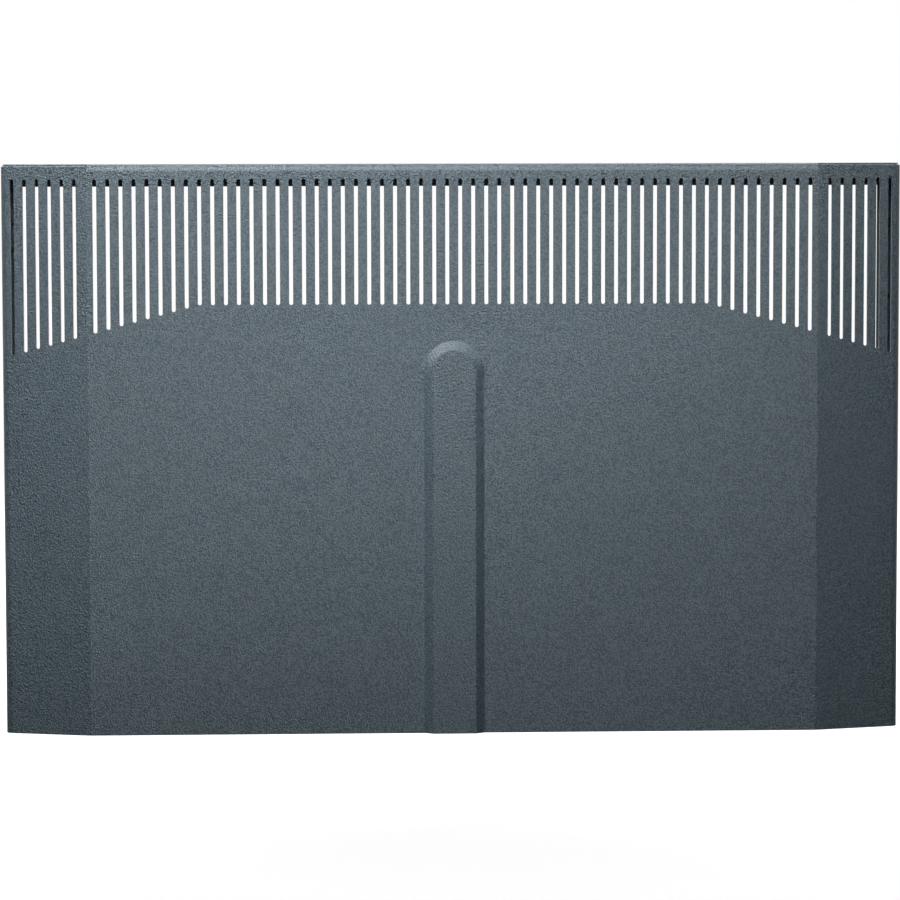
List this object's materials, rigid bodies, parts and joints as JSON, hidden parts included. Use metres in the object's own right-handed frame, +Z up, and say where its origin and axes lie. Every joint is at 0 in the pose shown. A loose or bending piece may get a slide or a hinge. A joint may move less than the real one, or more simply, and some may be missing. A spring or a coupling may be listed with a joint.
{
  "type": "rack door",
  "caption": "Vented sheet-steel rack door with a flat middle, side facets falling back, stepped vertical slots, a pressed central rib and a sprung pin hinge behind the left edge.",
  "frame": {"origin": "centre of the lower hinge bracket's two screw holes, on the face of the rack post that the bracket is screwed to", "axes": "+X along the door's width, to the right as the front is seen; +Y into the rack, from the front of the door to the post; +Z up"},
  "size_m": [0.6, 0.0608, 0.38],
  "materials": {
    "powder_coat": "fine-textured satin powder coat on steel",
    "zinc_plate": "bright zinc plate",
    "black_steel": "satin black plating",
    "bright_steel": "turned",
    "spring_steel": "oiled spring steel",
    "nylon": "natural nylon",
    "buffer_rubber": "matt black"
  },
  "bodies": {
    "rack_brackets": {"upper_hinge_bracket": "zinc_plate", "lower_hinge_bracket": "zinc_plate", "pivot_pin": "bright_steel", "thrust_washer": "nylon"},
    "door": {"door_skin": "powder_coat", "bottom_channel": "powder_coat", "upper_hinge_carrier": "zinc_plate", "lower_hinge_carrier": "zinc_plate", "carrier_rivets": "black_steel", "pin_spring": "spring_steel", "ball_studs": "black_steel", "stud_washers": "black_steel", "stud_nuts": "black_steel", "rubber_buffers": "buffer_rubber", "earth_stud": "zinc_plate", "earth_washer": "zinc_plate", "earth_nut": "zinc_plate"},
    "sprung_pin": {"hinge_pin": "bright_steel", "pin_clip": "spring_steel", "spring_seat": "zinc_plate", "pull_knob": "bright_steel", "knob_roll_pin": "spring_steel"}
  },
  "joints": [
    {"name": "door_swing", "type": "hinge", "parent": "rack_brackets", "child": "door", "pos_m": [0, -0.00925, 0], "axis": [0, 0, -1], "range_deg": [0, 110]},
    {"name": "pin_pull", "type": "slide", "parent": "door", "child": "sprung_pin", "axis": [0, 0, -1], "range_m": [0, 0.0055], "stiffness_N_per_m": 300, "springref_m": -0.01, "deforming": ["pin_spring"]}
  ]
}
